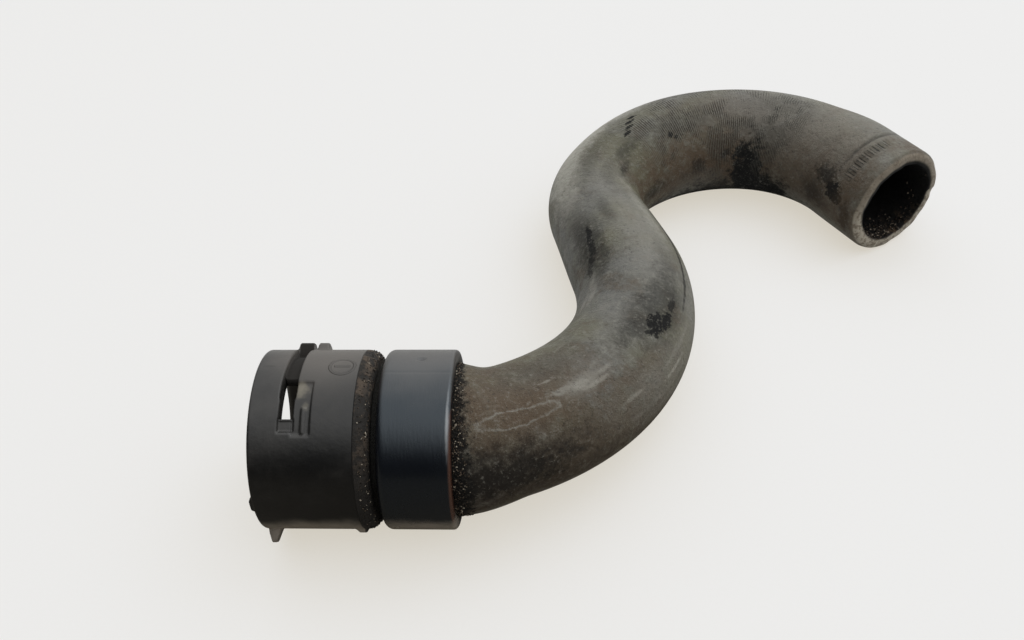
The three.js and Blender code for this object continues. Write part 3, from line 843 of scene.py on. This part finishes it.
def socket_relief(sizes, along, degrees):
    """How far the socket's outside stands proud, in millimetres: slot, recesses, ridges, key and stop."""
    def across(middle, half, edge=1.2):
        return within(degrees, middle - half, middle + half, edge)

    in_slot = within(along, *SLOT, 0.5)
    relief = -sizes.slot_depth / MM * in_slot * across(CLIP_PLANE, HALF_SLOT)
    for side in (-1, 1):
        window = CLIP_PLANE + side * WINDOW_OFFSET
        relief = relief - RAMP_DEPTH * in_slot * across(window + RAMP_OFFSET * side, HALF_RAMP)
        low, high = sorted((window - RECESS_TOP * side, window + RECESS_BOTTOM * side))
        shape = within(degrees, low, high, 1.2) * within(along, SLOT[1] - 0.4, RECESS_END, 0.6)
        rib = across(window + RIB_OFFSET * side, HALF_RIB) * within(along, *RIB, 0.5)
        relief = relief - sizes.recess_depth / MM * shape * (1 - rib)
    bridge = across(CLIP_PLANE, HALF_BRIDGE)
    relief = np.where(bridge > 0.5, np.maximum(relief, relief * (1 - bridge)), relief)
    ridge = sizes.ridge_height / MM * across(CLIP_PLANE, HALF_RIDGE, 4.0)
    relief = relief + ridge * sum(within(along, low, high, 0.7) for low, high in RIDGES)
    below = CLIP_PLANE + 180
    key = np.clip(1 - np.abs(along - KEY_PLACE) / 2.0, 0, 0.7) / 0.7
    relief = relief + sizes.key_height / MM * key * across(below, HALF_KEY, 2.0)
    return relief + STOP_HEIGHT * within(along, *STOP, 1.6) * across(below, 5, 4.0)


def shoulder_profile(angle):
    """Profile points on the quarter ellipse behind the socket, from angle 0 on its outside."""
    return np.stack([SOCKET_RADIUS - SHOULDER_DROP * (1 - np.cos(angle)),
                     SHOULDER_START + SHOULDER_LENGTH * np.sin(angle)], axis=-1)


def stem_profile():
    """Profile over the stem's barbs to its end, then back through its bore to the seal groove."""
    barb_radius = STEM_RADIUS + BARB_HEIGHT
    points = [(STEM_RADIUS, SOCKET_LENGTH)]
    for start in STEM_END - BARB_COUNT * BARB_PITCH + BARB_PITCH * np.arange(BARB_COUNT):
        top = start + BARB_RISE
        points += [(STEM_RADIUS, start), (barb_radius, top), (barb_radius, top + BARB_LAND)]
    groove_radius = BORE_RADIUS + GROOVE_DEPTH
    points += [(STEM_RADIUS, STEM_END - STEM_CHAMFER), (STEM_RADIUS - STEM_CHAMFER, STEM_END),
               (STEM_BORE, STEM_END), (STEM_BORE, BORE_DEPTH + (BORE_RADIUS - STEM_BORE) / 2),
               (BORE_RADIUS - BORE_CHAMFER, BORE_DEPTH), (BORE_RADIUS, BORE_DEPTH - BORE_CHAMFER),
               (BORE_RADIUS, GROOVE[1]), (groove_radius, GROOVE[1]),
               (groove_radius, GROOVE[0]), (BORE_RADIUS, GROOVE[0])]
    return np.array(points)


class HOSE_OT_socket(bpy.types.Operator):
    """Builds the quick-connect socket with its windows, slot, ridges, key and barbed stem"""
    bl_idname = "hose.socket"
    bl_label = "Socket"

    def execute(self, context):
        sizes = context.scene.socket_sizes
        degrees = np.arange(360) - 180.0
        columns = len(degrees)
        slot_rows = np.linspace(*SLOT, 15)
        front_rows = np.linspace(1.1, SLOT[0], 25)[:-1]
        wall_rows = np.concatenate([front_rows, slot_rows, np.linspace(SLOT[1], SHOULDER_START, 48)[1:]])
        bevel = arc_profile(SOCKET_RADIUS - MOUTH_BEVEL, MOUTH_BEVEL, MOUTH_BEVEL, 180, 90, 5)
        outside = level_profile(SOCKET_RADIUS, wall_rows)
        shoulder = shoulder_profile(np.radians(np.linspace(0, 90, 12))[1:])
        stem = stem_profile()
        inside = level_profile(BORE_RADIUS, slot_rows[::-1])
        mouth = [(BORE_RADIUS, LEAD_IN), (BORE_RADIUS + LEAD_IN, 0.0), (NIB_RADII[0] - 0.2, 0.0)]
        nib_rows = [(radius, 0.0) for radius in NIB_RADII]
        profile = np.concatenate([bevel, outside, shoulder, stem, inside, mouth, nib_rows])
        rows = len(profile)

        change, shift = np.zeros((rows, columns)), np.zeros((rows, columns))
        outer_rows = np.arange(len(bevel), len(bevel) + len(outside))
        change[outer_rows] = socket_relief(sizes, wall_rows[:, None], degrees[None])
        nibs = sum(within(degrees, middle - HALF_NIB, middle + HALF_NIB, 2.0) for middle in NIB_MIDDLES)
        shift[-len(nib_rows):] = -NIB_LENGTH * nibs
        points = revolved(profile, np.radians(degrees), shift, change)

        faces = quads(rows, columns)
        first_outer = len(bevel) + len(front_rows)
        last_outer = first_outer + len(slot_rows) - 1
        first_inner = len(bevel) + len(outside) + len(shoulder) + len(stem)
        last_inner = first_inner + len(slot_rows) - 1
        row, column = faces[:, 0] // columns, faces[:, 0] % columns
        keep = np.ones(len(faces), dtype=bool)
        walls = []
        for low, high in WINDOWS:
            left, right = low + 180, high + 180
            across = (column >= left) & (column < right)
            keep &= ~(across & (row >= first_outer) & (row < last_outer))
            keep &= ~(across & (row >= first_inner) & (row < last_inner))
            walls.append(window_walls(columns, first_outer, last_inner, len(slot_rows) - 1, left, right))
        faces = np.concatenate([faces[keep]] + walls)
        points, faces = used_points(points.reshape(-1, 3), faces)
        add_piece("quick_connect_socket", points, faces, socket_finish(context.scene.hose_colours),
                  "socket_body")
        return {"FINISHED"}


def window_walls(columns, outer_row, bore_row, steps, left, right):
    """Faces that join a window's rim on the outside with its rim in the bore, going once round it.

    Rows count up from outer_row on the outside and down from bore_row in the bore.
    """
    places = np.arange(steps + 1)
    across = np.arange(left, right + 1)
    row = np.concatenate([0 * across, places[1:], 0 * across[1:] + steps, places[::-1][1:]])
    column = np.concatenate([across, 0 * places[1:] + right, across[::-1][1:], 0 * places[1:] + left])
    out = (outer_row + row) * columns + column % columns
    bore = (bore_row - row) * columns + column % columns
    return np.stack([out[:-1], bore[:-1], bore[1:], out[1:]], axis=-1)


def used_points(points, faces):
    """The points that some face uses, renumbered in the faces."""
    used, numbers = np.unique(faces, return_inverse=True)
    return points[used], numbers.reshape(faces.shape)


class HOSE_OT_sleeve(bpy.types.Operator):
    """Builds the smooth clamp sleeve with its notch and parting line"""
    bl_idname = "hose.sleeve"
    bl_label = "Clamp sleeve"

    def execute(self, context):
        sizes = context.scene.sleeve_sizes
        front, back = sizes.front_round / MM, sizes.back_round / MM
        inner = SOCKET_RADIUS - SLEEVE_WALL
        middle = level_profile(SOCKET_RADIUS, np.linspace(SLEEVE_START + front, SLEEVE_END - back, 36))
        profile = np.concatenate([
            [(inner, SLEEVE_START)],
            arc_profile(SOCKET_RADIUS - front, SLEEVE_START + front, front, 180, 90, 9)[:-1], middle,
            arc_profile(SOCKET_RADIUS - back, SLEEVE_END - back, back, 90, 0, 8)[1:],
            [(inner, SLEEVE_END)]])
        degrees = np.arange(360) - 180.0
        notch = np.hypot((profile[:, 1:] - NOTCH_PLACE) / 1.5, (degrees - NOTCH_ANGLE) / 2.2)
        seam = np.abs(degrees - SEAM_ANGLE + 0 * profile[:, 1:])
        outer = profile[:, :1] > SOCKET_RADIUS - 0.2
        relief = outer * (-0.5 * smooth(-notch, -1.0, -0.5) - 0.12 * smooth(-seam, -1.2, 0.0))
        points = revolved(profile, np.radians(degrees), None, relief)
        faces = quads(len(profile), len(degrees))
        finish = sleeve_finish(context.scene.hose_colours)
        add_piece("smooth_clamp_sleeve", points, faces, finish, "clamp_sleeve")
        return {"FINISHED"}


class HOSE_OT_seal(bpy.types.Operator):
    """Builds the round seal ring in the socket's groove"""
    bl_idname = "hose.seal"
    bl_label = "Seal ring"

    def execute(self, context):
        thickness = (ring_high.x - ring_low.x) / 2 / MM
        middle = (ring_high.z - ring_low.z) / 2 / MM - thickness
        along = (ring_low.x + ring_high.x) / 2 - MOUTH_X
        profile = arc_profile(middle, along / MM, thickness, 0, 360, 17)[:-1]
        angles = np.radians(np.arange(0, 360, 3))
        points = revolved(profile, angles)
        faces = quads(len(profile), len(angles))
        add_piece("round_seal_ring", points, faces, seal_finish(), "o_ring_seal")
        return {"FINISHED"}


def grain_points(places, size, chance):
    """Eight corners for each grain: a unit box's, each moved at random, turned and put at its place."""
    corners = np.stack(np.meshgrid((-1, 1), (-1, 1), (-1, 1), indexing="ij"), axis=-1).reshape(8, 3) * 0.5
    rough = corners + chance.uniform(-0.22, 0.22, (len(places), 8, 3))
    turned, _ = np.linalg.qr(chance.normal(size=(len(places), 3, 3)))
    turned = turned * np.sign(np.linalg.det(turned))[:, None, None]
    spread = size * chance.uniform(0.45, 1.0, (len(places), 1, 1))
    spread = spread * chance.uniform(0.5, 1.0, (len(places), 1, 3))
    return places[:, None] + np.einsum("nij,nkj->nki", turned, rough * spread)


GRAIN_FACES = np.array([(0, 1, 3, 2), (4, 6, 7, 5), (0, 4, 5, 1), (2, 3, 7, 6), (0, 2, 6, 4), (1, 5, 7, 3)])


class HOSE_OT_grit(bpy.types.Operator):
    """Scatters road grit on the shoulder, where the hose leaves the sleeve, and in the cut end"""
    bl_idname = "hose.grit"
    bl_label = "Grit"

    def execute(self, context):
        sizes = context.scene.hose_sizes
        chance = np.random.default_rng(7)
        count = context.scene.stage_settings.grains

        shoulder = shoulder_profile(chance.uniform(0.3, math.pi / 2, count // 2))
        around = np.radians(chance.uniform(-180, 180, count // 2))
        places = [around_axis(shoulder[:, 0], shoulder[:, 1], around)]

        bore, wall = sizes.bore / MM, sizes.wall / MM
        near = GRIP + 0.1 + np.abs(chance.normal(0, 1.0, count))
        radius = bore + wall + sizes.stretch / MM * stretch_share(near)
        places.append(hose_surface(sizes, near, radius, np.radians(chance.uniform(-180, 180, count))))

        inner = hose_length() - 1 - np.abs(chance.normal(0, 5, count // 5))
        low = np.radians(186 + chance.normal(0, 34, count // 5))
        places.append(hose_surface(sizes, inner, bore - waist(inner) - 0.05, low))
        coarse = np.repeat((0.9, 1.0, 1.9), [len(group) for group in places])[:, None, None]
        places = np.concatenate(places)
        points = grain_points(places, coarse * context.scene.stage_settings.grain_size, chance)
        faces = (GRAIN_FACES[None] + 8 * np.arange(len(places))[:, None, None]).reshape(-1, 4)
        add_piece("road_grit", points, faces, grit_finish(context.scene.hose_colours))
        return {"FINISHED"}


class HOSE_OT_stage(bpy.types.Operator):
    """Sets up the table, the light and the camera"""
    bl_idname = "hose.stage"
    bl_label = "Stage"

    def execute(self, context):
        scene = context.scene
        settings = scene.stage_settings
        mesh = bpy.data.meshes.new("table_top")
        corners = [(x * TABLE_HALF, y * TABLE_HALF, 0.0) for x in (-1, 1) for y in (-1, 1)]
        mesh.from_pydata(corners, [], [(0, 2, 3, 1)])
        table = bpy.data.objects.new("table_top", mesh)
        mesh.materials.append(table_finish(scene.hose_colours))
        scene.collection.objects.link(table)

        lamp = bpy.data.lights.new("soft_key", "AREA")
        lamp.shape, lamp.size, lamp.energy = "DISK", LAMP_SIZE, settings.key_light
        key = bpy.data.objects.new("soft_key", lamp)
        key.matrix_world = looking(LAMP_PLACE, (0.0, 0.0, 0.0))
        scene.collection.objects.link(key)

        scene.world = room(settings.room_light)

        camera = bpy.data.cameras.new("view")
        camera.sensor_width = SENSOR_WIDTH
        camera.lens = SENSOR_WIDTH * FOCAL_PIXELS / PICTURE_PIXELS
        camera.clip_start, camera.clip_end = 0.01, 20
        viewer = bpy.data.objects.new("view", camera)
        viewer.matrix_world = photo_view()
        scene.collection.objects.link(viewer)
        scene.camera = viewer
        scene.view_settings.view_transform = "Standard"
        return {"FINISHED"}


def table_finish(colours):
    """Pale table top, seen by the camera as it is and much darker by reflections and bounced light."""
    f = new_finish("table")
    mottle = f.noise(f.place(), 900.0, 2.0)
    pale = tuple(colours.table)
    worn = tuple(0.97 * part for part in pale[:3]) + (1,)
    paths = f.node("ShaderNodeLightPath").outputs
    seen, mirrored = (Formula(f, paths[name]) for name in ("Is Camera Ray", "Is Glossy Ray"))
    _, y, _ = f.parts(f.place())
    behind = f.step(y, AXIS_Y + 0.02, AXIS_Y + 0.12)
    bounced = f.mix(mirrored * 0.6, colours.table_bounce, (0.0, 0.0, 0.0, 1.0))
    bounced = f.mix(behind, bounced, colours.table_behind)
    colour = f.mix(seen, bounced, f.mix(f.step(mottle, 0.4, 0.7) * 0.5, pale, worn))
    glow = f.mix(seen, (0.0, 0.0, 0.0, 1.0), colours.table_glow)
    return f.done(base_color=colour, emission_color=glow, emission_strength=1.0, roughness=0.9,
                  specular_ior_level=0.0)


def room(strength):
    """Light that grows smoothly with height, and from the front and left to the back and right."""
    f = Finish(bpy.data.worlds.new("room"))
    x, y, z = f.parts(f.result("ShaderNodeTexCoord", output="Generated"))
    bright = f.step(z + y * 0.4 + x * 0.35, -0.05, 0.8) * strength + 0.03
    seen = f.result("ShaderNodeLightPath", output="Is Camera Ray")
    bright = bright * (1 - seen) + seen * 0.85
    light = f.node("ShaderNodeBackground", color=(1.0, 1.0, 0.99, 1), strength=bright)
    return f.ended(light, "ShaderNodeOutputWorld")


def stood(right, up, back, place):
    """The matrix of an object at a place whose X, Y and Z axes point right, up and back."""
    matrix = np.eye(4)
    matrix[:3] = np.stack([right, up, back, place], axis=1)
    return Matrix(matrix.tolist())


def looking(place, target):
    """A lamp's place and turn: its -Z axis runs from the place to the target."""
    back = np.array(place) - np.array(target)
    back = back / np.linalg.norm(back)
    right = np.cross((0, 1, 0), back)
    right = right / np.linalg.norm(right)
    return stood(right, np.cross(back, right), back, place)


def photo_view():
    """The camera's place and turn from its yaw, pitch and roll."""
    yaw, pitch, roll = (math.radians(angle) for angle in (YAW, PITCH, ROLL))
    ahead = np.array([-math.sin(yaw) * math.cos(pitch), math.cos(yaw) * math.cos(pitch), -math.sin(pitch)])
    level = np.array([math.cos(yaw), math.sin(yaw), 0.0])
    above = np.cross(level, ahead)
    right = math.cos(roll) * level + math.sin(roll) * above
    up = -math.sin(roll) * level + math.cos(roll) * above
    return stood(right, up, -ahead, np.array(CAMERA_PLACE) + (sleeve_high.x, AXIS_Y, 0.0))


class HOSE_PT_panel(bpy.types.Panel):
    """Lists the pieces of the hose"""
    bl_label = "Coolant hose"
    bl_idname = "HOSE_PT_panel"
    bl_space_type = "VIEW_3D"
    bl_region_type = "UI"
    bl_category = "Hose"

    def draw(self, context):
        for group in GROUPS:
            settings = getattr(context.scene, group)
            box = self.layout.box()
            for name in settings.__annotations__:
                box.prop(settings, name)
        for operator in OPERATORS:
            self.layout.operator(operator.bl_idname)


GROUPS = {"hose_sizes": HoseSizes, "socket_sizes": SocketSizes, "sleeve_sizes": SleeveSizes,
          "hose_colours": Colours, "stage_settings": StageSettings}
OPERATORS = (HOSE_OT_hose, HOSE_OT_socket, HOSE_OT_sleeve, HOSE_OT_seal, HOSE_OT_grit, HOSE_OT_stage)


def register():
    for group in GROUPS.values():
        bpy.utils.register_class(group)
    for name, group in GROUPS.items():
        setattr(bpy.types.Scene, name, PointerProperty(type=group))
    for operator in OPERATORS:
        bpy.utils.register_class(operator)
    bpy.utils.register_class(HOSE_PT_panel)


def unregister():
    bpy.utils.unregister_class(HOSE_PT_panel)
    for operator in reversed(OPERATORS):
        bpy.utils.unregister_class(operator)
    for name, group in reversed(GROUPS.items()):
        delattr(bpy.types.Scene, name)
        bpy.utils.unregister_class(group)


def main():
    register()
    bpy.ops.hose.hose()
    bpy.ops.hose.socket()
    bpy.ops.hose.sleeve()
    bpy.ops.hose.seal()
    bpy.ops.hose.grit()
    bpy.ops.hose.stage()


if __name__ == "__main__":
    main()
